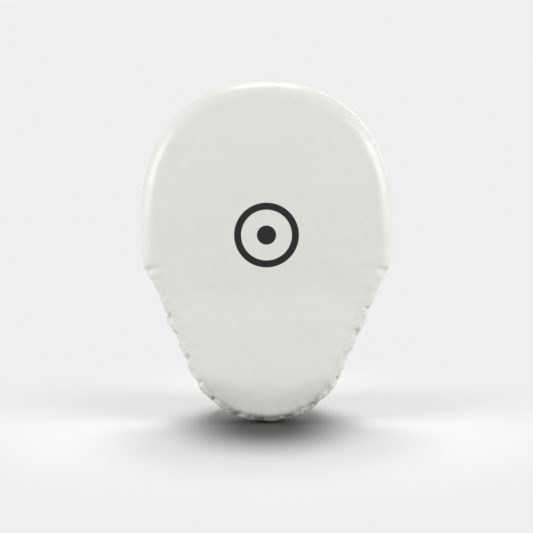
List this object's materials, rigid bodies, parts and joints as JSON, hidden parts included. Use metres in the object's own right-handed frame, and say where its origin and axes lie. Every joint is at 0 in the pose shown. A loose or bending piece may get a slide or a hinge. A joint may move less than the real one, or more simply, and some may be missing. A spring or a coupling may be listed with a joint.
{
  "type": "focus mitt",
  "caption": "Curved padded focus mitt for one hand: broad round finger end tapering to a gathered heel, with a finger hood, thumb stall, grip ball and wrist strap behind.",
  "frame": {"origin": "the point on the back panel that the middle of the palm rests on, under the lower edge of the finger hood", "axes": "+Z along the mitt towards its finger end, +Y out of its back towards the hand and wrist strap, -Y out of the striking face, +X to the right seen from the front"},
  "size_m": [0.198, 0.1075, 0.2705],
  "materials": {
    "white_leather": "smooth satin coated synthetic leather",
    "gathered_leather": "soft coated synthetic leather, gathered",
    "strap_leather": "satin coated synthetic leather over webbing",
    "impact_foam": "closed-cell foam",
    "core_foam": "open-cell foam",
    "backing_foam": "firm closed-cell foam",
    "lining": "black knitted lining",
    "binding": "black woven binding tape",
    "ball_leather": "black grained synthetic leather",
    "hook_tape": "moulded hook tape",
    "loop_tape": "brushed loop tape"
  },
  "bodies": {
    "pad": {"face_cover": "white_leather", "side_gusset": "white_leather", "gathered_band": "gathered_leather", "back_panel": "white_leather", "impact_foam": "impact_foam", "core_foam": "core_foam", "backing_foam": "backing_foam", "hood_cover": "white_leather", "hood_foam": "impact_foam", "hood_lining": "lining", "hood_binding": "binding", "finger_divider_1": "lining", "finger_divider_2": "lining", "finger_divider_3": "lining", "thumb_stall": "white_leather", "thumb_lining": "lining", "palm_pad": "lining", "palm_ball_foam": "impact_foam", "palm_ball_cover": "ball_leather", "wrist_pad": "lining", "right_cuff_cover": "white_leather", "right_cuff_foam": "impact_foam", "right_cuff_lining": "lining", "left_cuff_cover": "white_leather", "left_cuff_foam": "impact_foam", "left_cuff_lining": "lining", "strap_anchor": "strap_leather", "loop_patch": "loop_tape"},
    "strap": {"wrist_strap": "strap_leather", "hook_patch": "hook_tape", "strap_tab": "binding"}
  },
  "joints": [
    {"name": "strap_fold", "type": "hinge", "parent": "pad", "child": "strap", "pos_m": [0.04072, 0.02773, -0.07644], "axis": [0, -0.2079, -0.9781], "range_deg": [0, 150]}
  ]
}
